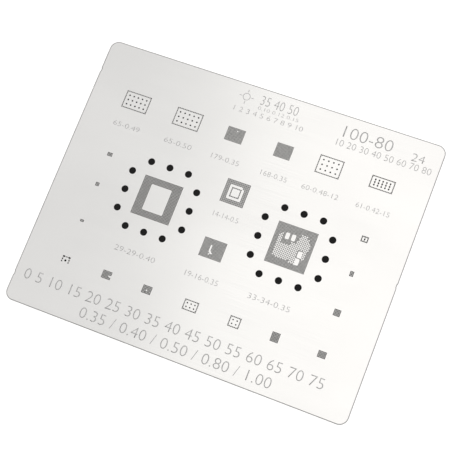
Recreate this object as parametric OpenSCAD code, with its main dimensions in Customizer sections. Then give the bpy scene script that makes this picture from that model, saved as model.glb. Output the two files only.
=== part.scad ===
// Solder paste stencil: one flat sheet of thin stainless steel. Its fields of
// round apertures repeat the ball or pad patterns of the chips it prints, and a
// ring of relief holes stands round each of the two large fields.
// Millimetres. The origin is the middle of the lower face, and +Z points up
// out of the face that the paste is wiped over.

/* [Sheet] */
// Length of the sheet, along X
sheet_l = 100; // [84:1:140]
// Width of the sheet, along Y
sheet_w = 80; // [60:1:120]
// Thickness of the steel
sheet_t = 0.12; // [0.08:0.01:0.2]
// Radius of the four corners
corner_r = 2.5; // [0.5:0.5:6]

/* [Break-off nicks] */
// Length of the nick that a holding tab leaves in an edge
nick_l = 1; // [0.4:0.1:2]
// Depth of a nick
nick_d = 0.15; // [0.05:0.05:0.4]
// Places of the nicks along the left edge
left_nick_y = [30.5, -32.6];
// Place of the nick along the right edge
right_nick_y = -0.5; // [-35:0.5:35]

/* [Relief holes] */
// Distance of each ring's centre from the middle of the sheet
ring_x = 19.9; // [18:0.1:22]
// Distance of a ring's sides from its centre
ring_reach = 9.75; // [8:0.25:11]
// Spacing of the three holes on each side
relief_pitch = 5.6; // [2.5:0.1:6.5]
// Diameter of a relief hole
relief_d = 2; // [0.5:0.1:2.4]

/* [Ball fields] */
// Ball pitch of the finest chips
fine_pitch = 0.35; // [0.3:0.01:0.38]
// Aperture for a ball of the finest chips
fine_d = 0.24; // [0.16:0.01:0.27]
// Which balls of the finest chips are cut: 1 for every one, 2 for every second
fine_step = 2; // [1:1:2]
// Ball pitch of the small chips and of the open square field
mid_pitch = 0.4; // [0.36:0.01:0.44]
// Aperture for a ball at that pitch
mid_d = 0.3; // [0.2:0.01:0.33]
// Ball pitch of the memory chip
coarse_pitch = 0.5; // [0.45:0.01:0.55]
// Aperture for a ball of the memory chip
coarse_d = 0.32; // [0.2:0.01:0.4]

/* [Pad rings] */
// Aperture for a pad in the rim of a leadless chip
rim_d = 0.31; // [0.2:0.01:0.32]
// Aperture for the solder dots under the heat pad of a leadless chip
dot_d = 0.48; // [0.3:0.02:0.7]

/* [Rows and columns of small chips] */
// Height of the top row above the middle
top_row_y = 24.6; // [23.5:0.1:30]
// Depth of the bottom row below the middle
bottom_row_y = 24.36; // [22:0.1:30]
// Distance of the side columns from the middle
side_column_x = 37.6; // [36:0.1:39]

/* [Hidden] */
steel = [0.80, 0.80, 0.79];
// How far each cutter stands out of both faces
cut_over = 0.1;
// Sides that stand for a circle when the model is drawn as a mesh
$fn = 24;

// Places of the chips along their rows, from left to right
top_row_x = [-36.3, -20.5, -6.2, 8.25, 21.7, 36.8];
bottom_row_x = [-37.55, -25, -12.9, 0.05, 12.87, 24.55, 37.74];
// Places of the chips up their columns, from bottom to top
left_column_y = [-12.53, -1.36, 7.83];
right_column_y = [-12.55, -1.35, 8.7];
memory_y = 9.08;
power_chip_y = -7.77;

// One round aperture through the sheet
module hole(d) {
    translate([0, 0, -cut_over])
        cylinder(h = sheet_t + 2 * cut_over, d = d);
}

// One aperture with round ends, long in X
module slot(l, d) {
    for (side = [-1, 1])
        translate([side * (l - d) / 2, 0, 0])
            hole(d);
    translate([-(l - d) / 2, -d / 2, -cut_over])
        cube([l - d, d, sheet_t + 2 * cut_over]);
}

// A rectangular field of apertures. keep(i, j) says whether column i and row j,
// counted from the lower left, holds a ball.
module field(cols, rows, pitch, d, keep = function(i, j) true) {
    step = is_list(pitch) ? pitch : [pitch, pitch];
    for (i = [0 : cols - 1], j = [0 : rows - 1])
        if (keep(i, j))
            translate([(i - (cols - 1) / 2) * step.x, (j - (rows - 1) / 2) * step.y, 0])
                hole(d);
}

// How many balls a place lies in from the nearest side of its field
function depth_in(i, j, cols, rows) = min(i, j, cols - 1 - i, rows - 1 - j);

// Whether a place lies in a block of columns and rows, ends included
function in_block(i, j, block) =
    i >= block[0] && i <= block[1] && j >= block[2] && j <= block[3];

// Whether a place lies in any block of a list
function in_any(i, j, blocks) = len([for (b = blocks) if (in_block(i, j, b)) b]) > 0;

// Whether a ball of the finest chips is cut at the chosen step
function on_step(i, j) = (i + j) % fine_step == 0;

// The rim of pads of a leadless chip, and the solder dots under its heat pad.
// span is the distance between the outer pads' centres along X and Y.
module pad_ring(span, pads, dots, dot_pitch, d = dot_d) {
    pitch = [span.x / (pads.x - 1), span.y / (pads.y - 1)];
    field(pads.x, pads.y, pitch, rim_d,
        function(i, j) depth_in(i, j, pads.x, pads.y) == 0);
    field(dots.x, dots.y, dot_pitch, d);
}

// Twelve relief holes, three on each side of a square
module relief_ring() {
    for (turn = [0 : 3], k = [-1 : 1])
        rotate([0, 0, 90 * turn])
            translate([k * relief_pitch, ring_reach, 0])
                hole(relief_d);
}

// Large open square field: a band of balls round a blank middle
module frame_field() {
    size = 29;
    band = [7, 5];
    blank = [band.x, size - 1 - band.x, band.y, size - 1 - band.y];
    field(size, size, mid_pitch, mid_d, function(i, j) !in_block(i, j, blank));
}

// Large full field: dense near its sides, every second ball in its middle, and
// four plain windows where the chip carries parts of its own
module windowed_field() {
    cols = 33;
    rows = 34;
    windows = [[9, 11, 22, 26], [14, 16, 22, 26], [23, 25, 11, 15], [23, 25, 5, 9]];
    open_middle = [[5, 21, 7, 17], [4, 6, 7, 24], [5, 6, 25, 25], [15, 21, 18, 20],
                   [19, 29, 17, 23], [20, 27, 24, 26], [21, 25, 27, 28],
                   [26, 28, 10, 16], [18, 22, 5, 9], [6, 16, 6, 6]];
    field(cols, rows, fine_pitch, fine_d, function(i, j)
        !in_any(i, j, windows)
        && on_step(i, j)
        && (!in_any(i, j, open_middle) || (i + j) % 2 == 0 && (i % fine_step == 0)));
}

// Memory chip: three outer rings of balls, a blank ring, an inner ring and one
// index ball in the blank ring's corner
module memory_field() {
    size = 14;
    index = 10;
    field(size, size, coarse_pitch, coarse_d, function(i, j)
        depth_in(i, j, size, size) < 3
        || depth_in(i, j, size, size) == 4
        || i == index && j == index);
}

// Power chip: a full field with a short column and a few balls beside it left out
module power_field() {
    blanks = [[7, 7, 6, 10], [7, 8, 5, 5], [8, 9, 4, 4], [7, 7, 3, 3]];
    field(19, 16, fine_pitch, fine_d,
        function(i, j) on_step(i, j) && !in_any(i, j, blanks));
}

// Full field of the finest balls, with blank places
module fine_field(cols, rows, blanks = []) {
    field(cols, rows, fine_pitch, fine_d,
        function(i, j) on_step(i, j) && !in_any(i, j, blanks));
}

// Full field at the small chips' pitch, with blank places
module small_field(cols, rows, blanks = []) {
    field(cols, rows, mid_pitch, mid_d, function(i, j) !in_any(i, j, blanks));
}

// Charging chip: two wide pads, a large middle pad and small side pads
module charger_pads() {
    wide_pad = [0.75, 0.48];
    wide_at = [0.83, 0.8];
    side_at = [1, 0.05, -0.65];
    for (side = [-1, 1]) {
        translate([side * wide_at.x, wide_at.y, 0])
            slot(wide_pad.x, wide_pad.y);
        for (y = [side_at[1], side_at[2]])
            translate([side * side_at[0], y, 0])
                hole(0.4);
    }
    translate([0, 0.82, 0])
        hole(0.34);
    translate([0, -0.23, 0])
        hole(0.64);
}

// Chips above the middle, from left to right
module top_row() {
    translate([top_row_x[0], top_row_y, 0])
        pad_ring([7.3, 4.86], [16, 11], [5, 3], [1.3, 1.33]);
    translate([top_row_x[1], top_row_y, 0])
        pad_ring([7.57, 4.97], [16, 11], [5, 3], [1.38, 1.4]);
    translate([top_row_x[2], top_row_y, 0])
        fine_field(15, 12, [[8, 8, 9, 9]]);
    translate([top_row_x[3], top_row_y, 0])
        fine_field(14, 12);
    translate([top_row_x[4], top_row_y, 0])
        pad_ring([6.66, 5], [15, 11], [4, 3], [1.45, 1.42]);
    translate([top_row_x[5], top_row_y, 0])
        pad_ring([6.36, 3.28], [16, 9], [5, 3], [1.05, 0.8]);
}

// Chips below the middle, from left to right
module bottom_row() {
    translate([bottom_row_x[0], -bottom_row_y, 0])
        charger_pads();
    translate([bottom_row_x[1], -bottom_row_y, 0])
        small_field(7, 6, [[5, 6, 2, 2]]);
    translate([bottom_row_x[2], -bottom_row_y, 0])
        small_field(7, 6, [[3, 3, 2, 2]]);
    translate([bottom_row_x[3], -bottom_row_y, 0])
        pad_ring([3.82, 2.71], [9, 7], [3, 2], [1.11, 1.06], 0.42);
    translate([bottom_row_x[4], -bottom_row_y, 0])
        pad_ring([2.9, 2.73], [7, 7], [2, 2], [1.18, 1.09], 0.42);
    translate([bottom_row_x[5], -bottom_row_y, 0])
        small_field(6, 7);
    translate([bottom_row_x[6], -bottom_row_y, 0])
        small_field(6, 5);
}

// Small chips beside the two large fields
module side_columns() {
    translate([-side_column_x, left_column_y[0], 0])
        small_field(3, 2);
    translate([-side_column_x, left_column_y[1], 0])
        small_field(3, 3);
    translate([-side_column_x, left_column_y[2], 0])
        small_field(4, 3);
    translate([side_column_x, right_column_y[0], 0])
        small_field(5, 5);
    translate([side_column_x, right_column_y[1], 0])
        small_field(3, 4);
    translate([side_column_x, right_column_y[2], 0])
        pad_ring([1.64, 1.4], [5, 5], [1, 1], [1, 1], 0.44);
}

// The bare sheet with round corners
module blank_sheet() {
    for (sx = [-1, 1], sy = [-1, 1])
        translate([sx * (sheet_l / 2 - corner_r), sy * (sheet_w / 2 - corner_r), 0])
            cylinder(h = sheet_t, r = corner_r);
    translate([-sheet_l / 2, -sheet_w / 2 + corner_r, 0])
        cube([sheet_l, sheet_w - 2 * corner_r, sheet_t]);
    translate([-sheet_l / 2 + corner_r, -sheet_w / 2, 0])
        cube([sheet_l - 2 * corner_r, sheet_w, sheet_t]);
}

// The nick that a broken tab leaves, cut from the edge at side (-1 left, 1 right)
module nick(side, y) {
    translate([side * sheet_l / 2 - nick_d, y - nick_l / 2, -cut_over])
        cube([2 * nick_d, nick_l, sheet_t + 2 * cut_over]);
}

module stencil_sheet() {
    color(steel)
        difference() {
            blank_sheet();
            for (y = left_nick_y)
                nick(-1, y);
            nick(1, right_nick_y);
            for (side = [-1, 1])
                translate([side * ring_x, 0, 0])
                    relief_ring();
            translate([-ring_x, 0, 0])
                frame_field();
            translate([ring_x, 0, 0])
                windowed_field();
            translate([0, memory_y, 0])
                memory_field();
            translate([0, power_chip_y, 0])
                power_field();
            top_row();
            bottom_row();
            side_columns();
        }
}

stencil_sheet();
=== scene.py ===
"""Solder paste stencil: a thin brushed steel sheet with laser-cut fields of apertures.

The sheet is modelled in millimetres, where the fill tool is exact enough for
apertures a quarter of a millimetre across, and is then brought to metres.
"""
import math
from collections import namedtuple

import bpy
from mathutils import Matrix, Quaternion, Vector


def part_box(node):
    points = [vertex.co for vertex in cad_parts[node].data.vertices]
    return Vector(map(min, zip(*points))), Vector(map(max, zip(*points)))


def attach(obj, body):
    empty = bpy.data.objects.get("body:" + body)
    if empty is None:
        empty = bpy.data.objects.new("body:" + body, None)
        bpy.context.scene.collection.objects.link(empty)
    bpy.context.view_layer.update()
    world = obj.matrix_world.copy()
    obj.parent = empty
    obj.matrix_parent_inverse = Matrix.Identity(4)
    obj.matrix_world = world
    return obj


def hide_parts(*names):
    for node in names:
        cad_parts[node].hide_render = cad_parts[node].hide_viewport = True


bl_info = {
    "name": "Solder paste stencil",
    "version": (1, 0, 0),
    "blender": (4, 5, 0),
    "location": "3D View > Sidebar > Stencil",
    "description": "Cuts, etches and lights a solder paste stencil",
    "category": "Add Mesh",
}

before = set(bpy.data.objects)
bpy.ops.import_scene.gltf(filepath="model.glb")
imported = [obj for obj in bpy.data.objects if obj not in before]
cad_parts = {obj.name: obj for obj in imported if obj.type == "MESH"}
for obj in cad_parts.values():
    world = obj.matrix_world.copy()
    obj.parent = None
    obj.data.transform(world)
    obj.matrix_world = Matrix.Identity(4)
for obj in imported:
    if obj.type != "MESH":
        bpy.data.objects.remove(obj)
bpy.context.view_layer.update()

NODE = "stencil_sheet"
MM = 0.001
SHEET_LOW, SHEET_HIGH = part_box(NODE)
SHEET_SIZE = Vector(SHEET_HIGH) - Vector(SHEET_LOW)


# Sizes and colours that a user would change


def length(name, description, default):
    """A length property, in metres."""
    return bpy.props.FloatProperty(name=name, description=description, default=default,
                                   min=0.0, precision=5, unit="LENGTH")


def colour(name, description, default):
    """A colour property without alpha."""
    return bpy.props.FloatVectorProperty(name=name, description=description, default=default,
                                         min=0.0, max=1.0, size=3, subtype="COLOR")


class StencilSheetSizes(bpy.types.PropertyGroup):
    """Outline of the sheet."""

    length: length("Length", "Long side of the sheet", SHEET_SIZE.x)
    width: length("Width", "Short side of the sheet", SHEET_SIZE.y)
    thickness: length("Thickness", "Thickness of the steel", SHEET_SIZE.z)
    corner_radius: length("Corner radius", "Radius of the four corners", 2.5 * MM)
    edge_band: length("Edge band", "Width of the burr left round the outline", 0.21 * MM)
    edge_drop: length("Edge drop", "How far the burr falls away at the outline", 0.04 * MM)
    nick_length: length("Nick length", "Length of a holding tab's nick", 1.0 * MM)
    nick_depth: length("Nick depth", "Depth of a holding tab's nick", 0.15 * MM)


class StencilApertureSizes(bpy.types.PropertyGroup):
    """Pitches and diameters of the apertures."""

    fine_pitch: length("Fine pitch", "Ball pitch of the finest chips", 0.35 * MM)
    fine_hole: length("Fine aperture", "Aperture for a ball of the finest chips", 0.24 * MM)
    mid_pitch: length("Middle pitch", "Ball pitch of the small chips", 0.4 * MM)
    mid_hole: length("Middle aperture", "Aperture for a ball of the small chips", 0.3 * MM)
    coarse_pitch: length("Coarse pitch", "Ball pitch of the memory chip", 0.5 * MM)
    coarse_hole: length("Coarse aperture", "Aperture for a ball of the memory chip", 0.32 * MM)
    rim_hole: length("Rim aperture", "Aperture for a pad in a leadless chip's rim", 0.31 * MM)
    dot_hole: length("Dot aperture", "Aperture for a dot of a heat pad", 0.48 * MM)
    relief_hole: length("Relief hole", "Diameter of a relief hole", 2.0 * MM)
    relief_pitch: length("Relief pitch", "Spacing of the holes on a ring's side", 5.6 * MM)
    ring_reach: length("Ring reach", "Distance of a ring's sides from its centre", 9.75 * MM)
    ring_place: length("Ring place", "Distance of a ring from the sheet's middle", 19.9 * MM)


class StencilFinish(bpy.types.PropertyGroup):
    """Colours of the steel as it was rolled, cut, heated and etched; the cut colour also holds
    painted contact shadow along the outline.
    """

    rolled: colour("Rolled steel", "The plain brushed faces", (0.80, 0.80, 0.795))
    heated: colour("Heated steel", "The dull web between close apertures", (0.47, 0.47, 0.465))
    # The cut colour is darker than a burnt cut edge alone: it also paints the contact shadow
    # along the outline's edge.
    cut: colour("Cut steel", "Aperture walls and the outline's burr", (0.30, 0.30, 0.30))
    etched: colour("Etched steel", "The matt floor of the etched marks", (0.50, 0.50, 0.50))
    roughness: bpy.props.FloatProperty(
        name="Roughness", description="Mean roughness of the brushed faces",
        default=0.17, min=0.0, max=1.0, subtype="FACTOR")


def settings(name):
    """The scene's copy of one property group."""
    return getattr(bpy.context.scene, name)


def millimetres(group, name):
    """One length of a property group, in millimetres."""
    return getattr(group, name) / MM


# Selecting and finishing


def anything(element):
    """A test that every element passes."""
    return True


def deselect_all():
    """Leave object mode and clear the selection."""
    if bpy.context.object and bpy.context.object.mode != "OBJECT":
        bpy.ops.object.mode_set(mode="OBJECT")
    bpy.ops.object.select_all(action="DESELECT")


def only(piece):
    """Make one piece the whole selection."""
    deselect_all()
    piece.select_set(True)
    bpy.context.view_layer.objects.active = piece


def pick(piece, vertices=None, edges=None, faces=None):
    """Select the elements of a piece that pass a test, and enter edit mode."""
    only(piece)
    bpy.ops.object.mode_set(mode="EDIT")
    kind = "VERT" if vertices else "EDGE" if edges else "FACE"
    bpy.ops.mesh.select_mode(type=kind)
    bpy.ops.mesh.select_all(action="DESELECT")
    bpy.ops.object.mode_set(mode="OBJECT")
    mesh = piece.data
    elements = {"VERT": mesh.vertices, "EDGE": mesh.edges, "FACE": mesh.polygons}[kind]
    test = vertices or edges or faces
    for element in elements:
        element.select = test(element)
    bpy.ops.object.mode_set(mode="EDIT")


def join(pieces):
    """Join pieces into the first one."""
    only(pieces[0])
    for piece in pieces[1:]:
        piece.select_set(True)
    bpy.ops.object.join()
    return pieces[0]


def to_metres(piece):
    """Bring a piece modelled in millimetres to metres, with its place in its mesh."""
    only(piece)
    bpy.ops.transform.resize(value=(MM, MM, MM), center_override=(0, 0, 0))
    bpy.ops.object.transform_apply(location=True, rotation=True, scale=True)


# The pattern of apertures, in millimetres from the middle of the sheet

Field = namedtuple("Field", "columns rows pitch hole centre keep")

WINDOWS = [(9, 11, 22, 26), (14, 16, 22, 26), (23, 25, 11, 15), (23, 25, 5, 9)]
OPEN_MIDDLE = [(5, 21, 7, 17), (4, 6, 7, 24), (5, 6, 25, 25), (15, 21, 18, 20),
               (19, 29, 17, 23), (20, 27, 24, 26), (21, 25, 27, 28),
               (26, 28, 10, 16), (18, 22, 5, 9), (6, 16, 6, 6)]
POWER_BLANKS = [(7, 7, 6, 10), (7, 8, 5, 5), (8, 9, 4, 4), (7, 7, 3, 3)]
FRAME_BLANK = (7, 21, 5, 23)

TOP_ROW_X = (-36.3, -20.5, -6.2, 8.25, 21.7, 36.8)
TOP_ROW_Y = 24.6
BOTTOM_ROW_X = (-37.55, -25, -12.9, 0.05, 12.87, 24.55, 37.74)
BOTTOM_ROW_Y = -24.36
SIDE_X = 37.6
LEFT_COLUMN_Y = (-12.53, -1.36, 7.83)
RIGHT_COLUMN_Y = (-12.55, -1.35, 8.7)
MEMORY_Y = 9.08
POWER_Y = -7.77
# Charging chip: holes and places of its pads, from its own centre
CHARGER_MIDDLE = ((0.34, 0.82), (0.64, -0.23))
CHARGER_WIDE = (0.75, 0.48)
CHARGER_WIDE_AT = (0.83, 0.8)
CHARGER_SIDE_HOLE = 0.4
CHARGER_SIDE_X = 1.0
CHARGER_SIDE_Y = (0.05, -0.65)
LEFT_NICKS_Y = (30.5, -32.6)
RIGHT_NICKS_Y = (-0.5,)

# The fill tool goes wrong on points that lie close, so the sheet is filled enlarged
FILL_GROWTH = 10
# Points nearer to a line or level than this lie on it
LEVEL_SLACK = 1e-3
CORNER_STEPS = 10
# Length of the slope at each end of a nick
NICK_RAMP = 0.08
# A face counts as level if the upright part of its normal is more than this
LEVEL_NORMAL = 0.999
UPWARD_NORMAL = 0.9
# The web between apertures is made of faces shorter than this many middle pitches
WEB_SPAN = 1.1
FINE_SIDES = 12
RELIEF_SIDES = 48


def in_any(i, j, blocks):
    """Whether a place lies in any block of columns and rows, ends included."""
    return any(left <= i <= right and low <= j <= high for left, right, low, high in blocks)


def depth_in(i, j, columns, rows):
    """How many places a place lies in from the nearest side of its field."""
    return min(i, j, columns - 1 - i, rows - 1 - j)


def full_field(columns, rows, pitch, hole, centre, blanks=()):
    """A full field of balls with some blank places."""
    return Field(columns, rows, (pitch, pitch), hole, centre,
                 lambda i, j: not in_any(i, j, blanks))


def pad_ring(centre, span, pads, dots, dot_pitch, rim_hole, dot_hole):
    """The rim of a leadless chip's pads, and the dots under its heat pad."""
    pitch = (span[0] / (pads[0] - 1), span[1] / (pads[1] - 1))
    rim = Field(pads[0], pads[1], pitch, rim_hole, centre,
                lambda i, j: depth_in(i, j, *pads) == 0)
    middle = Field(dots[0], dots[1], dot_pitch, dot_hole, centre, lambda i, j: True)
    return [rim, middle]


def windowed_keep(i, j):
    """The large full field: dense at its sides, every second ball in its middle."""
    if in_any(i, j, WINDOWS):
        return False
    return not in_any(i, j, OPEN_MIDDLE) or (i + j) % 2 == 0


def memory_keep(i, j):
    """Three outer rings, an inner ring and one index ball."""
    depth = depth_in(i, j, 14, 14)
    return depth < 3 or depth == 4 or i == j == 10


def large_fields(size):
    """The fields in the middle of the sheet."""
    fine = (millimetres(size, "fine_pitch"), millimetres(size, "fine_hole"))
    mid = (millimetres(size, "mid_pitch"), millimetres(size, "mid_hole"))
    coarse = (millimetres(size, "coarse_pitch"), millimetres(size, "coarse_hole"))
    ring_x = millimetres(size, "ring_place")
    return [
        full_field(29, 29, *mid, (-ring_x, 0), [FRAME_BLANK]),
        Field(33, 34, (fine[0], fine[0]), fine[1], (ring_x, 0), windowed_keep),
        Field(14, 14, (coarse[0], coarse[0]), coarse[1], (0, MEMORY_Y), memory_keep),
        full_field(19, 16, *fine, (0, POWER_Y), POWER_BLANKS),
    ]


def top_row(size):
    """The chips above the middle, from left to right."""
    fine = (millimetres(size, "fine_pitch"), millimetres(size, "fine_hole"))
    holes = (millimetres(size, "rim_hole"), millimetres(size, "dot_hole"))
    at = [(x, TOP_ROW_Y) for x in TOP_ROW_X]
    return [
        *pad_ring(at[0], (7.3, 4.86), (16, 11), (5, 3), (1.3, 1.33), *holes),
        *pad_ring(at[1], (7.57, 4.97), (16, 11), (5, 3), (1.38, 1.4), *holes),
        full_field(15, 12, *fine, at[2], [(8, 8, 9, 9)]),
        full_field(14, 12, *fine, at[3]),
        *pad_ring(at[4], (6.66, 5), (15, 11), (4, 3), (1.45, 1.42), *holes),
        *pad_ring(at[5], (6.36, 3.28), (16, 9), (5, 3), (1.05, 0.8), *holes),
    ]


def bottom_row(size):
    """The chips below the middle, apart from the charger's pads."""
    mid = (millimetres(size, "mid_pitch"), millimetres(size, "mid_hole"))
    rim_hole = millimetres(size, "rim_hole")
    at = [(x, BOTTOM_ROW_Y) for x in BOTTOM_ROW_X]
    return [
        full_field(7, 6, *mid, at[1], [(5, 6, 2, 2)]),
        full_field(7, 6, *mid, at[2], [(3, 3, 2, 2)]),
        *pad_ring(at[3], (3.82, 2.71), (9, 7), (3, 2), (1.11, 1.06), rim_hole, 0.42),
        *pad_ring(at[4], (2.9, 2.73), (7, 7), (2, 2), (1.18, 1.09), rim_hole, 0.42),
        full_field(6, 7, *mid, at[5]),
        full_field(6, 5, *mid, at[6]),
    ]


def side_columns(size):
    """The small chips beside the two large fields."""
    mid = (millimetres(size, "mid_pitch"), millimetres(size, "mid_hole"))
    rim_hole = millimetres(size, "rim_hole")
    left = [(-SIDE_X, y) for y in LEFT_COLUMN_Y]
    right = [(SIDE_X, y) for y in RIGHT_COLUMN_Y]
    return [
        full_field(3, 2, *mid, left[0]),
        full_field(3, 3, *mid, left[1]),
        full_field(4, 3, *mid, left[2]),
        full_field(5, 5, *mid, right[0]),
        full_field(3, 4, *mid, right[1]),
        *pad_ring(right[2], (1.64, 1.4), (5, 5), (1, 1), (1, 1), rim_hole, 0.44),
    ]


# Cutting the sheet


def aperture(diameter, x, y, height, sides=FINE_SIDES):
    """The wall of one round aperture: a tube open at both faces."""
    deselect_all()
    bpy.ops.mesh.primitive_circle_add(vertices=sides, radius=diameter / 2,
                                      fill_type="NOTHING", location=(x, y, 0))
    wall = bpy.context.object
    bpy.ops.object.transform_apply(location=True, rotation=True, scale=True)
    bpy.ops.object.mode_set(mode="EDIT")
    bpy.ops.mesh.select_all(action="SELECT")
    bpy.ops.mesh.extrude_region_move(TRANSFORM_OT_translate={"value": (0, 0, height)})
    bpy.ops.object.mode_set(mode="OBJECT")
    return wall


def slot_aperture(size, x, y, height):
    """The wall of one aperture with round ends, long in X."""
    wall = aperture(size[1], x, y, height)
    stretch = (size[0] - size[1]) / 2
    for side in (-1, 1):
        pick(wall, vertices=lambda v, s=side: (v.co.x - x) * s > LEVEL_SLACK)
        bpy.ops.transform.translate(value=(side * stretch, 0, 0))
        bpy.ops.object.mode_set(mode="OBJECT")
    return wall


def repeat(piece, count, step):
    """Repeat a piece along one line and apply the result."""
    if count < 2:
        return
    only(piece)
    row = piece.modifiers.new("row", "ARRAY")
    row.count = count
    row.use_relative_offset = False
    row.use_constant_offset = True
    row.constant_offset_displace = step
    bpy.ops.object.modifier_apply(modifier=row.name)


def cut_field(field, height):
    """The walls of a whole field, with its blank places cleared."""
    first_x = field.centre[0] - (field.columns - 1) / 2 * field.pitch[0]
    first_y = field.centre[1] - (field.rows - 1) / 2 * field.pitch[1]
    walls = aperture(field.hole, first_x, first_y, height)
    repeat(walls, field.columns, (field.pitch[0], 0, 0))
    repeat(walls, field.rows, (0, field.pitch[1], 0))

    def blank(vertex):
        i = round((vertex.co.x - first_x) / field.pitch[0])
        j = round((vertex.co.y - first_y) / field.pitch[1])
        return not field.keep(i, j)

    pick(walls, vertices=blank)
    bpy.ops.mesh.delete(type="VERT")
    bpy.ops.object.mode_set(mode="OBJECT")
    return walls


def charger_pads(height):
    """Two wide pads, a large middle pad and small side pads."""
    centre_x, centre_y = BOTTOM_ROW_X[0], BOTTOM_ROW_Y
    walls = [aperture(hole, centre_x, centre_y + y, height) for hole, y in CHARGER_MIDDLE]
    for side in (-1, 1):
        wide_x = centre_x + side * CHARGER_WIDE_AT[0]
        wide_y = centre_y + CHARGER_WIDE_AT[1]
        walls.append(slot_aperture(CHARGER_WIDE, wide_x, wide_y, height))
        for y in CHARGER_SIDE_Y:
            side_x = centre_x + side * CHARGER_SIDE_X
            walls.append(aperture(CHARGER_SIDE_HOLE, side_x, centre_y + y, height))
    return walls


def relief_rings(size, height):
    """Twelve relief holes round each of the two large fields."""
    reach = millimetres(size, "ring_reach")
    pitch = millimetres(size, "relief_pitch")
    hole = millimetres(size, "relief_hole")
    centre = millimetres(size, "ring_place")
    walls = []
    for side in (-1, 1):
        for quarter in range(4):
            turn = math.radians(90 * quarter)
            for k in (-1, 0, 1):
                x = k * pitch * math.cos(turn) - reach * math.sin(turn)
                y = k * pitch * math.sin(turn) + reach * math.cos(turn)
                walls.append(aperture(hole, side * centre + x, y, height, RELIEF_SIDES))
    return walls


def cut_nick(blank, side, y, size):
    """Press a holding tab's nick into the left (-1) or right (1) edge."""
    half = millimetres(size, "nick_length") / 2
    for line in (y - half, y - half + NICK_RAMP, y + half - NICK_RAMP, y + half):
        pick(blank, vertices=anything)
        bpy.ops.mesh.bisect(plane_co=(0, line, 0), plane_no=(0, 1, 0))
        bpy.ops.object.mode_set(mode="OBJECT")
    edge_x = side * millimetres(size, "length") / 2

    def in_nick(vertex):
        on_edge = abs(vertex.co.x - edge_x) < LEVEL_SLACK
        return on_edge and abs(vertex.co.y - y) < half - NICK_RAMP / 2

    pick(blank, vertices=in_nick)
    bpy.ops.transform.translate(value=(-side * millimetres(size, "nick_depth"), 0, 0))
    bpy.ops.object.mode_set(mode="OBJECT")


def sheet_rim(size):
    """The outline's wall and burr, open where the two faces will be filled in."""
    sheet_length = millimetres(size, "length")
    sheet_width = millimetres(size, "width")
    height = millimetres(size, "thickness")
    drop = millimetres(size, "edge_drop")
    deselect_all()
    bpy.ops.mesh.primitive_plane_add(size=1, location=(0, 0, 0))
    rim = bpy.context.object
    rim.name = "stencil_plate"
    bpy.ops.object.mode_set(mode="EDIT")
    bpy.ops.mesh.select_all(action="SELECT")
    bpy.ops.transform.resize(value=(sheet_length, sheet_width, 1))
    bpy.ops.mesh.bevel(offset=millimetres(size, "corner_radius"), segments=CORNER_STEPS,
                       affect="VERTICES")
    bpy.ops.object.mode_set(mode="OBJECT")

    def crosses_inside(edge):
        """Whether an edge is a line across the sheet that the nicks' cuts left."""
        first, last = (rim.data.vertices[i].co for i in edge.vertices)
        middle = (first + last) / 2
        return abs(middle.x) < 1 and abs(middle.y) < sheet_width / 2 - 1

    def is_face_of_sheet(face):
        """Whether a face is the whole upper or lower face."""
        return abs(face.normal.z) > UPWARD_NORMAL and len(face.vertices) > CORNER_STEPS

    for y in LEFT_NICKS_Y:
        cut_nick(rim, -1, y, size)
    for y in RIGHT_NICKS_Y:
        cut_nick(rim, 1, y, size)
    pick(rim, edges=crosses_inside)
    bpy.ops.mesh.dissolve_edges(use_verts=False)
    bpy.ops.mesh.select_all(action="SELECT")
    bpy.ops.mesh.extrude_region_move(TRANSFORM_OT_translate={"value": (0, 0, height - drop)})
    bpy.ops.mesh.select_all(action="SELECT")
    bpy.ops.mesh.normals_make_consistent(inside=False)
    bpy.ops.object.mode_set(mode="OBJECT")
    pick(rim, faces=lambda f: f.normal.z > UPWARD_NORMAL)
    bpy.ops.mesh.inset(thickness=millimetres(size, "edge_band"), depth=drop)
    bpy.ops.object.mode_set(mode="OBJECT")
    pick(rim, faces=is_face_of_sheet)
    bpy.ops.mesh.delete(type="ONLY_FACE")
    bpy.ops.object.mode_set(mode="OBJECT")
    return rim


def grow(sheet, factor):
    """Scale the sheet about the middle of its lower face."""
    pick(sheet, vertices=anything)
    bpy.ops.transform.resize(value=(factor, factor, factor), center_override=(0, 0, 0))
    bpy.ops.object.mode_set(mode="OBJECT")


def fill_face(sheet, height):
    """Fill the sheet's face at one height, round all the apertures."""
    vertices = sheet.data.vertices
    pick(sheet, edges=lambda e: all(abs(vertices[i].co.z - height) < LEVEL_SLACK
                                    for i in e.vertices))
    bpy.ops.mesh.fill(use_beauty=True)
    bpy.ops.object.mode_set(mode="OBJECT")


def longest_side(face, mesh):
    """The longest side of a face."""
    corners = [mesh.vertices[i].co for i in face.vertices]
    return max((a - b).length for a, b in zip(corners, corners[1:] + corners[:1]))


# Finishes


def new_material(name, base, roughness, metallic=1.0):
    """A material with its plain values on the shader's own sockets."""
    material = bpy.data.materials.new(name)
    material.use_nodes = True
    shader = material.node_tree.nodes["Principled BSDF"]
    shader.inputs["Base Color"].default_value = (*base, 1)
    shader.inputs["Metallic"].default_value = metallic
    shader.inputs["Roughness"].default_value = roughness
    material.diffuse_color = (*base, 1)
    return material, shader


def add_pattern(material, scale, detail, stretch=(1, 1, 1)):
    """A noise on the piece's own coordinates."""
    nodes, links = material.node_tree.nodes, material.node_tree.links
    place = nodes.new("ShaderNodeTexCoord")
    mapping = nodes.new("ShaderNodeMapping")
    mapping.inputs["Scale"].default_value = stretch
    noise = nodes.new("ShaderNodeTexNoise")
    noise.inputs["Scale"].default_value = scale
    noise.inputs["Detail"].default_value = detail
    links.new(place.outputs["Object"], mapping.inputs["Vector"])
    links.new(mapping.outputs["Vector"], noise.inputs["Vector"])
    return noise


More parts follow.
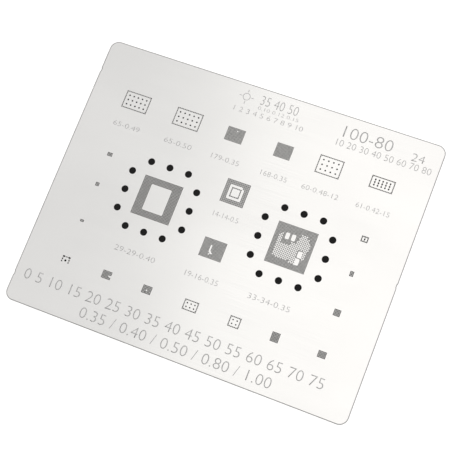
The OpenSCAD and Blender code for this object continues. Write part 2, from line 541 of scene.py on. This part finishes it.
def add_range(material, noise, low, high, socket):
    """Lead a noise into a shader's socket between two values."""
    nodes, links = material.node_tree.nodes, material.node_tree.links
    span = nodes.new("ShaderNodeMapRange")
    span.inputs["From Min"].default_value = 0.3
    span.inputs["From Max"].default_value = 0.7
    span.inputs["To Min"].default_value = low
    span.inputs["To Max"].default_value = high
    links.new(noise.outputs["Fac"], span.inputs["Value"])
    links.new(span.outputs["Result"], socket)


def add_tint(material, noise, dark, light, shader):
    """Let a noise move the base colour between two near tones."""
    nodes, links = material.node_tree.nodes, material.node_tree.links
    ramp = nodes.new("ShaderNodeValToRGB")
    ramp.color_ramp.elements[0].position = 0.35
    ramp.color_ramp.elements[0].color = (*dark, 1)
    ramp.color_ramp.elements[1].position = 0.65
    ramp.color_ramp.elements[1].color = (*light, 1)
    links.new(noise.outputs["Fac"], ramp.inputs["Fac"])
    links.new(ramp.outputs["Color"], shader.inputs["Base Color"])


def add_bump(material, noise, strength, distance, shader):
    """Lead a noise into the surface's relief."""
    nodes, links = material.node_tree.nodes, material.node_tree.links
    bump = nodes.new("ShaderNodeBump")
    bump.inputs["Strength"].default_value = strength
    bump.inputs["Distance"].default_value = distance
    links.new(noise.outputs["Fac"], bump.inputs["Height"])
    links.new(bump.outputs["Normal"], shader.inputs["Normal"])


def shade(base, factor):
    """A colour made lighter or darker."""
    return tuple(min(1.0, c * factor) for c in base)


def rolled_steel(finish):
    """Brushed faces: fine rolling lines along X and faint cloudy stains."""
    roughness = finish.roughness
    material, shader = new_material("rolled_steel", finish.rolled, roughness)
    lines = add_pattern(material, 1.0, 6.0, (45, 5200, 1))
    clouds = add_pattern(material, 38.0, 3.0, (0.6, 1, 1))
    add_range(material, lines, roughness - 0.05, roughness + 0.06, shader.inputs["Roughness"])
    add_tint(material, clouds, shade(finish.rolled, 0.975), shade(finish.rolled, 1.02), shader)
    add_bump(material, lines, 0.12, 0.004 * MM, shader)
    return material


def heated_steel(finish):
    """The web between close apertures, dulled by the laser."""
    material, shader = new_material("heated_steel", finish.heated, 0.38)
    spots = add_pattern(material, 2600.0, 2.0)
    add_range(material, spots, 0.32, 0.46, shader.inputs["Roughness"])
    add_tint(material, spots, shade(finish.heated, 0.88), shade(finish.heated, 1.12), shader)
    return material


def cut_steel(finish):
    """Laser-cut walls and burr, with the beam's fine vertical striations; their dark colour is
    partly a burnt cut edge, partly painted contact shadow along the outline.
    """
    material, shader = new_material("cut_steel", finish.cut, 0.42)
    striations = add_pattern(material, 1.0, 3.0, (9000, 9000, 300))
    add_tint(material, striations, shade(finish.cut, 0.8), shade(finish.cut, 1.25), shader)
    add_bump(material, striations, 0.3, 0.006 * MM, shader)
    return material


def etched_steel(finish):
    """The matt, finely pitted floor of an etched mark."""
    material, shader = new_material("etched_steel", finish.etched, 0.6)
    pits = add_pattern(material, 5200.0, 3.0)
    add_tint(material, pits, shade(finish.etched, 0.9), shade(finish.etched, 1.1), shader)
    add_bump(material, pits, 0.5, 0.004 * MM, shader)
    return material


class STENCIL_OT_cut_sheet(bpy.types.Operator):
    """Cut the steel sheet with its outline, nicks, relief holes and apertures"""

    bl_idname = "stencil.cut_sheet"
    bl_label = "Cut sheet"

    def execute(self, context):
        size = settings("stencil_sheet_sizes")
        holes = settings("stencil_aperture_sizes")
        finish = settings("stencil_finish")
        height = millimetres(size, "thickness")
        fields = large_fields(holes) + top_row(holes) + bottom_row(holes) + side_columns(holes)
        walls = [cut_field(field, height) for field in fields]
        walls += charger_pads(height) + relief_rings(holes, height)
        sheet = join([sheet_rim(size)] + walls)
        grow(sheet, FILL_GROWTH)
        fill_face(sheet, 0.0)
        fill_face(sheet, height * FILL_GROWTH)
        grow(sheet, 1 / FILL_GROWTH)
        pick(sheet, vertices=anything)
        bpy.ops.mesh.normals_make_consistent(inside=False)
        bpy.ops.object.mode_set(mode="OBJECT")
        mesh = sheet.data
        for make in (rolled_steel, cut_steel, heated_steel):
            mesh.materials.append(make(finish))
        rolled, cut, heated = range(3)
        web = millimetres(holes, "mid_pitch") * WEB_SPAN
        for face in mesh.polygons:
            # Walls and the outline's burr take the cut colour, which is partly painted contact
            # shadow.
            if abs(face.normal.z) < LEVEL_NORMAL:
                face.material_index = cut
            else:
                face.material_index = heated if longest_side(face, mesh) < web else rolled
        to_metres(sheet)
        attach(sheet, "root")
        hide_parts(NODE)
        return {"FINISHED"}


# Etched marks: plain numerals, in millimetres from the middle of the sheet

Mark = namedtuple("Mark", "text x y height width")

# How far the marks reach above and below the face
MARK_DEPTH = 0.0015
# Taken off each stroke's sides, for letters one unit high
THINNER = -0.016
# Registration mark: a ring with four short lines round it
TARGET_AT = (-7.2, 36.2)
TARGET_RADIUS = 1.1
TARGET_LINE = 0.2
TARGET_GAP = 0.25
TARGET_ARM = 0.8
MARKS = [
    Mark("65-0.49", -36.3, 17.1, 1.4, 8.0),
    Mark("65-0.50", -20.5, 17.1, 1.4, 8.2),
    Mark("179-0.35", -6.2, 17.1, 1.4, 8.2),
    Mark("168-0.35", 8.25, 17.1, 1.4, 7.6),
    Mark("60-0.48-12", 21.7, 17.1, 1.4, 10.5),
    Mark("61-0.42-15", 36.8, 17.1, 1.4, 9.5),
    Mark("14-14-0.5", 0.0, 1.9, 1.4, 7.4),
    Mark("29-29-0.40", -19.9, -16.2, 1.5, 12.0),
    Mark("19-16-0.35", 0.0, -16.2, 1.5, 9.6),
    Mark("33-34-0.35", 19.6, -16.2, 1.5, 12.0),
    Mark("35 40 50", 2.6, 36.6, 2.7, 11.0),
    Mark("0.10 0.12 0.15", 3.0, 34.2, 1.0, 12.0),
    Mark("1 2 3 4 5 6 7 8 9 10", 0.8, 32.2, 1.4, 20.5),
    Mark("100-80", 29.0, 35.5, 3.3, 14.0),
    Mark("24", 43.5, 34.6, 2.2, 3.6),
    Mark("10 20 30 40 50 60 70 80", 34.5, 32.0, 1.9, 27.0),
    Mark("0 5 10 15 20 25 30 35 40 45 50 55 60 65 70 75", -3.0, -31.6, 3.0, 88.0),
    Mark("0.35 / 0.40 / 0.50 / 0.80 / 1.00", 0.0, -36.3, 3.0, 56.0),
]


def etched_numerals(mark, face_z):
    """One line of numerals, thin enough to read as an etched floor."""
    deselect_all()
    bpy.ops.object.text_add(location=(0, 0, 0))
    line = bpy.context.object
    line.data.body = mark.text
    line.data.resolution_u = 3
    line.data.offset = THINNER
    bpy.ops.object.convert(target="MESH")
    line = bpy.context.object
    xs = [v.co.x for v in line.data.vertices]
    ys = [v.co.y for v in line.data.vertices]
    middle = ((min(xs) + max(xs)) / 2, (min(ys) + max(ys)) / 2)
    bpy.ops.object.mode_set(mode="EDIT")
    bpy.ops.mesh.select_all(action="SELECT")
    bpy.ops.transform.translate(value=(-middle[0], -middle[1], 0))
    bpy.ops.transform.resize(value=(mark.width / (max(xs) - min(xs)),
                                    mark.height / (max(ys) - min(ys)), 1),
                             center_override=(0, 0, 0))
    bpy.ops.transform.translate(value=(mark.x, mark.y, face_z - MARK_DEPTH))
    bpy.ops.mesh.remove_doubles(threshold=1e-4)
    bpy.ops.mesh.extrude_region_move(TRANSFORM_OT_translate={"value": (0, 0, 2 * MARK_DEPTH)})
    bpy.ops.mesh.select_all(action="SELECT")
    bpy.ops.mesh.normals_make_consistent(inside=False)
    bpy.ops.object.mode_set(mode="OBJECT")
    return line


def etched_ring(x, y, radius, line_width, face_z):
    """One closed line round a centre."""
    deselect_all()
    bpy.ops.mesh.primitive_circle_add(vertices=RELIEF_SIDES, radius=radius, fill_type="NGON",
                                      location=(x, y, face_z - MARK_DEPTH),
                                      rotation=(0, 0, math.pi / RELIEF_SIDES))
    ring = bpy.context.object
    bpy.ops.object.transform_apply(location=True, rotation=True, scale=True)
    bpy.ops.object.mode_set(mode="EDIT")
    bpy.ops.mesh.select_all(action="SELECT")
    bpy.ops.mesh.inset(thickness=line_width)
    bpy.ops.mesh.delete(type="FACE")
    bpy.ops.mesh.select_all(action="SELECT")
    bpy.ops.mesh.extrude_region_move(TRANSFORM_OT_translate={"value": (0, 0, 2 * MARK_DEPTH)})
    bpy.ops.mesh.select_all(action="SELECT")
    bpy.ops.mesh.normals_make_consistent(inside=False)
    bpy.ops.object.mode_set(mode="OBJECT")
    return ring


def etched_bar(x, y, size, face_z):
    """One straight etched line."""
    deselect_all()
    bpy.ops.mesh.primitive_plane_add(size=1, location=(x, y, face_z - MARK_DEPTH))
    bar = bpy.context.object
    bpy.ops.object.transform_apply(location=True, rotation=True, scale=True)
    bpy.ops.object.mode_set(mode="EDIT")
    bpy.ops.mesh.select_all(action="SELECT")
    bpy.ops.transform.resize(value=(size[0], size[1], 1), center_override=(x, y, 0))
    bpy.ops.mesh.extrude_region_move(TRANSFORM_OT_translate={"value": (0, 0, 2 * MARK_DEPTH)})
    bpy.ops.mesh.select_all(action="SELECT")
    bpy.ops.mesh.normals_make_consistent(inside=False)
    bpy.ops.object.mode_set(mode="OBJECT")
    return bar


def etched_cross(x, y, radius, arm, line_width, face_z):
    """Four short lines that start just outside a ring and point at its centre."""
    reach = radius + TARGET_GAP + arm / 2
    across = [etched_bar(x + side * reach, y, (arm, line_width), face_z) for side in (-1, 1)]
    upright = [etched_bar(x, y + side * reach, (line_width, arm), face_z) for side in (-1, 1)]
    return across + upright


class STENCIL_OT_etch_marks(bpy.types.Operator):
    """Etch plain numerals and a registration mark into the wiping face"""

    bl_idname = "stencil.etch_marks"
    bl_label = "Etch marks"

    def execute(self, context):
        face_z = millimetres(settings("stencil_sheet_sizes"), "thickness")
        lines = [etched_numerals(mark, face_z) for mark in MARKS]
        lines += [etched_ring(*TARGET_AT, TARGET_RADIUS, TARGET_LINE, face_z)]
        lines += etched_cross(*TARGET_AT, TARGET_RADIUS, TARGET_ARM, TARGET_LINE, face_z)
        marks = join(lines)
        marks.name = "etched_marks"
        marks.data.materials.clear()
        marks.data.materials.append(etched_steel(settings("stencil_finish")))
        to_metres(marks)
        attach(marks, "root")
        return {"FINISHED"}


# Stage, light and camera

EYE = Vector((70.227, -61.736, 318.4)) * MM
AIM = Vector((-1.611, -4.041, 0.0)) * MM
ROLL = math.radians(-30.529)
LENS = 96.832
SHIFT = (0.03, 0.02)
FLOOR_GAP = 0.06 * MM

# Light of the tent by the sideways part of its direction, left to right
TENT = [(-0.5, (0.72, 0.71, 0.70)), (-0.42, (0.92, 0.91, 0.90)), (-0.3, (0.885, 0.875, 0.865)),
        (-0.262, (0.88, 0.875, 0.865)), (-0.203, (1.25, 1.23, 1.20)),
        (-0.05, (1.28, 1.255, 1.23)), (0.3, (1.15, 1.14, 1.13))]
# How far the tent dims over the camera's own side, by the forward part of the direction
TENT_FRONT = [(-0.5, (0.9, 0.9, 0.9)), (-0.36, (0.4, 0.4, 0.4)), (-0.24, (0.4, 0.4, 0.4)),
              (-0.08, (1, 1, 1)), (0.5, (1, 1, 1))]


def add_ramp(world, axis, stops):
    """A smooth ramp over one part of the direction, from -0.5 to 0.5."""
    nodes, links = world.node_tree.nodes, world.node_tree.links
    span = nodes.new("ShaderNodeMapRange")
    span.inputs["From Min"].default_value = -0.5
    span.inputs["From Max"].default_value = 0.5
    ramp = nodes.new("ShaderNodeValToRGB")
    ramp.color_ramp.interpolation = "EASE"
    elements = ramp.color_ramp.elements
    while len(elements) < len(stops):
        elements.new(0.5)
    for element, (direction, light) in zip(elements, stops):
        element.position = direction + 0.5
        element.color = (*light, 1)
    links.new(axis, span.inputs["Value"])
    links.new(span.outputs["Result"], ramp.inputs["Fac"])
    return ramp.outputs["Color"]


def light_tent():
    """A pale world: white to the camera, softly graded to everything else."""
    world = bpy.data.worlds.new("light_tent")
    bpy.context.scene.world = world
    world.use_nodes = True
    nodes, links = world.node_tree.nodes, world.node_tree.links
    nodes.clear()
    place = nodes.new("ShaderNodeTexCoord")
    axes = nodes.new("ShaderNodeSeparateXYZ")
    path = nodes.new("ShaderNodeLightPath")
    tent = nodes.new("ShaderNodeBackground")
    white = nodes.new("ShaderNodeBackground")
    white.inputs["Color"].default_value = (1, 1, 1, 1)
    mix = nodes.new("ShaderNodeMixShader")
    output = nodes.new("ShaderNodeOutputWorld")
    links.new(place.outputs["Generated"], axes.inputs["Vector"])
    links.new(add_ramp(world, axes.outputs["X"], TENT), tent.inputs["Color"])
    links.new(add_ramp(world, axes.outputs["Y"], TENT_FRONT), tent.inputs["Strength"])
    links.new(path.outputs["Is Camera Ray"], mix.inputs["Fac"])
    links.new(tent.outputs["Background"], mix.inputs[1])
    links.new(white.outputs["Background"], mix.inputs[2])
    links.new(mix.outputs["Shader"], output.inputs["Surface"])


def floor_material():
    """White floor that keeps shadows and shows white to the camera."""
    material, shader = new_material("white_floor", (0.9, 0.9, 0.9), 0.9, metallic=0.0)
    nodes, links = material.node_tree.nodes, material.node_tree.links
    path = nodes.new("ShaderNodeLightPath")
    glow = nodes.new("ShaderNodeMath")
    glow.operation = "MULTIPLY"
    glow.inputs[1].default_value = 0.3
    shader.inputs["Emission Color"].default_value = (1, 1, 1, 1)
    links.new(path.outputs["Is Camera Ray"], glow.inputs[0])
    links.new(glow.outputs["Value"], shader.inputs["Emission Strength"])
    return material


def add_floor():
    """The floor, and a black card hidden under the sheet behind its apertures: painted shade
    seen through the holes.
    """
    deselect_all()
    bpy.ops.mesh.primitive_plane_add(size=4, location=(0, 0, -FLOOR_GAP))
    floor = bpy.context.object
    floor.name = "floor"
    floor.data.materials.append(floor_material())
    deselect_all()
    # Near-black card under the sheet: painted shade, so that what shows through the apertures
    # looks dark.
    bpy.ops.mesh.primitive_plane_add(size=1, location=(0, 0, -FLOOR_GAP / 2))
    card = bpy.context.object
    card.name = "dark_card"
    bpy.ops.object.mode_set(mode="EDIT")
    bpy.ops.mesh.select_all(action="SELECT")
    bpy.ops.transform.resize(value=(SHEET_SIZE.x - 3 * MM, SHEET_SIZE.y - 3 * MM, 1))
    bpy.ops.mesh.bevel(offset=2 * MM, segments=6, affect="VERTICES")
    bpy.ops.object.mode_set(mode="OBJECT")
    card.data.materials.append(new_material("dark_card", (0.003, 0.003, 0.003), 1.0, 0.0)[0])


def add_lamp():
    """One large soft lamp in front and to the left."""
    deselect_all()
    bpy.ops.object.light_add(type="AREA", location=(-0.9, -0.35, 0.9))
    lamp = bpy.context.object
    lamp.data.shape = "SQUARE"
    lamp.data.size = 0.7
    lamp.data.energy = 1.2
    lamp.rotation_euler = (-lamp.location).to_track_quat("-Z", "Y").to_euler()


def add_camera():
    """The camera, looking down on the sheet from its right front."""
    deselect_all()
    bpy.ops.object.camera_add(location=EYE)
    camera = bpy.context.object
    look = (AIM - EYE).to_track_quat("-Z", "Y") @ Quaternion((0, 0, 1), ROLL)
    camera.rotation_euler = look.to_euler()
    camera.data.lens = LENS
    camera.data.sensor_width = 36
    camera.data.shift_x, camera.data.shift_y = SHIFT
    camera.data.clip_start = 0.01
    bpy.context.scene.camera = camera


class STENCIL_OT_set_stage(bpy.types.Operator):
    """Set the floor, the light tent, the lamp and the camera"""

    bl_idname = "stencil.set_stage"
    bl_label = "Set stage"

    def execute(self, context):
        context.scene.view_settings.view_transform = "Standard"
        light_tent()
        add_floor()
        add_lamp()
        add_camera()
        return {"FINISHED"}


class STENCIL_PT_panel(bpy.types.Panel):
    """Lists the stencil's sizes, colours and operators"""

    bl_idname = "STENCIL_PT_panel"
    bl_label = "Solder paste stencil"
    bl_space_type = "VIEW_3D"
    bl_region_type = "UI"
    bl_category = "Stencil"

    def draw(self, context):
        layout = self.layout
        for name in GROUPS:
            box = layout.box()
            group = getattr(context.scene, name)
            for field in group.__annotations__:
                box.prop(group, field)
        for operator in OPERATORS:
            layout.operator(operator.bl_idname)


GROUPS = {
    "stencil_sheet_sizes": StencilSheetSizes,
    "stencil_aperture_sizes": StencilApertureSizes,
    "stencil_finish": StencilFinish,
}
OPERATORS = (STENCIL_OT_cut_sheet, STENCIL_OT_etch_marks, STENCIL_OT_set_stage)


def register():
    """Register the classes and give the scene its property groups."""
    for name, group in GROUPS.items():
        bpy.utils.register_class(group)
        setattr(bpy.types.Scene, name, bpy.props.PointerProperty(type=group))
    for operator in OPERATORS:
        bpy.utils.register_class(operator)
    bpy.utils.register_class(STENCIL_PT_panel)


def unregister():
    """Take away all that register added."""
    bpy.utils.unregister_class(STENCIL_PT_panel)
    for operator in reversed(OPERATORS):
        bpy.utils.unregister_class(operator)
    for name, group in GROUPS.items():
        delattr(bpy.types.Scene, name)
        bpy.utils.unregister_class(group)


def main():
    """Build the stencil and its stage."""
    register()
    bpy.ops.stencil.set_stage()
    bpy.ops.stencil.cut_sheet()
    bpy.ops.stencil.etch_marks()


if __name__ == "__main__":
    main()
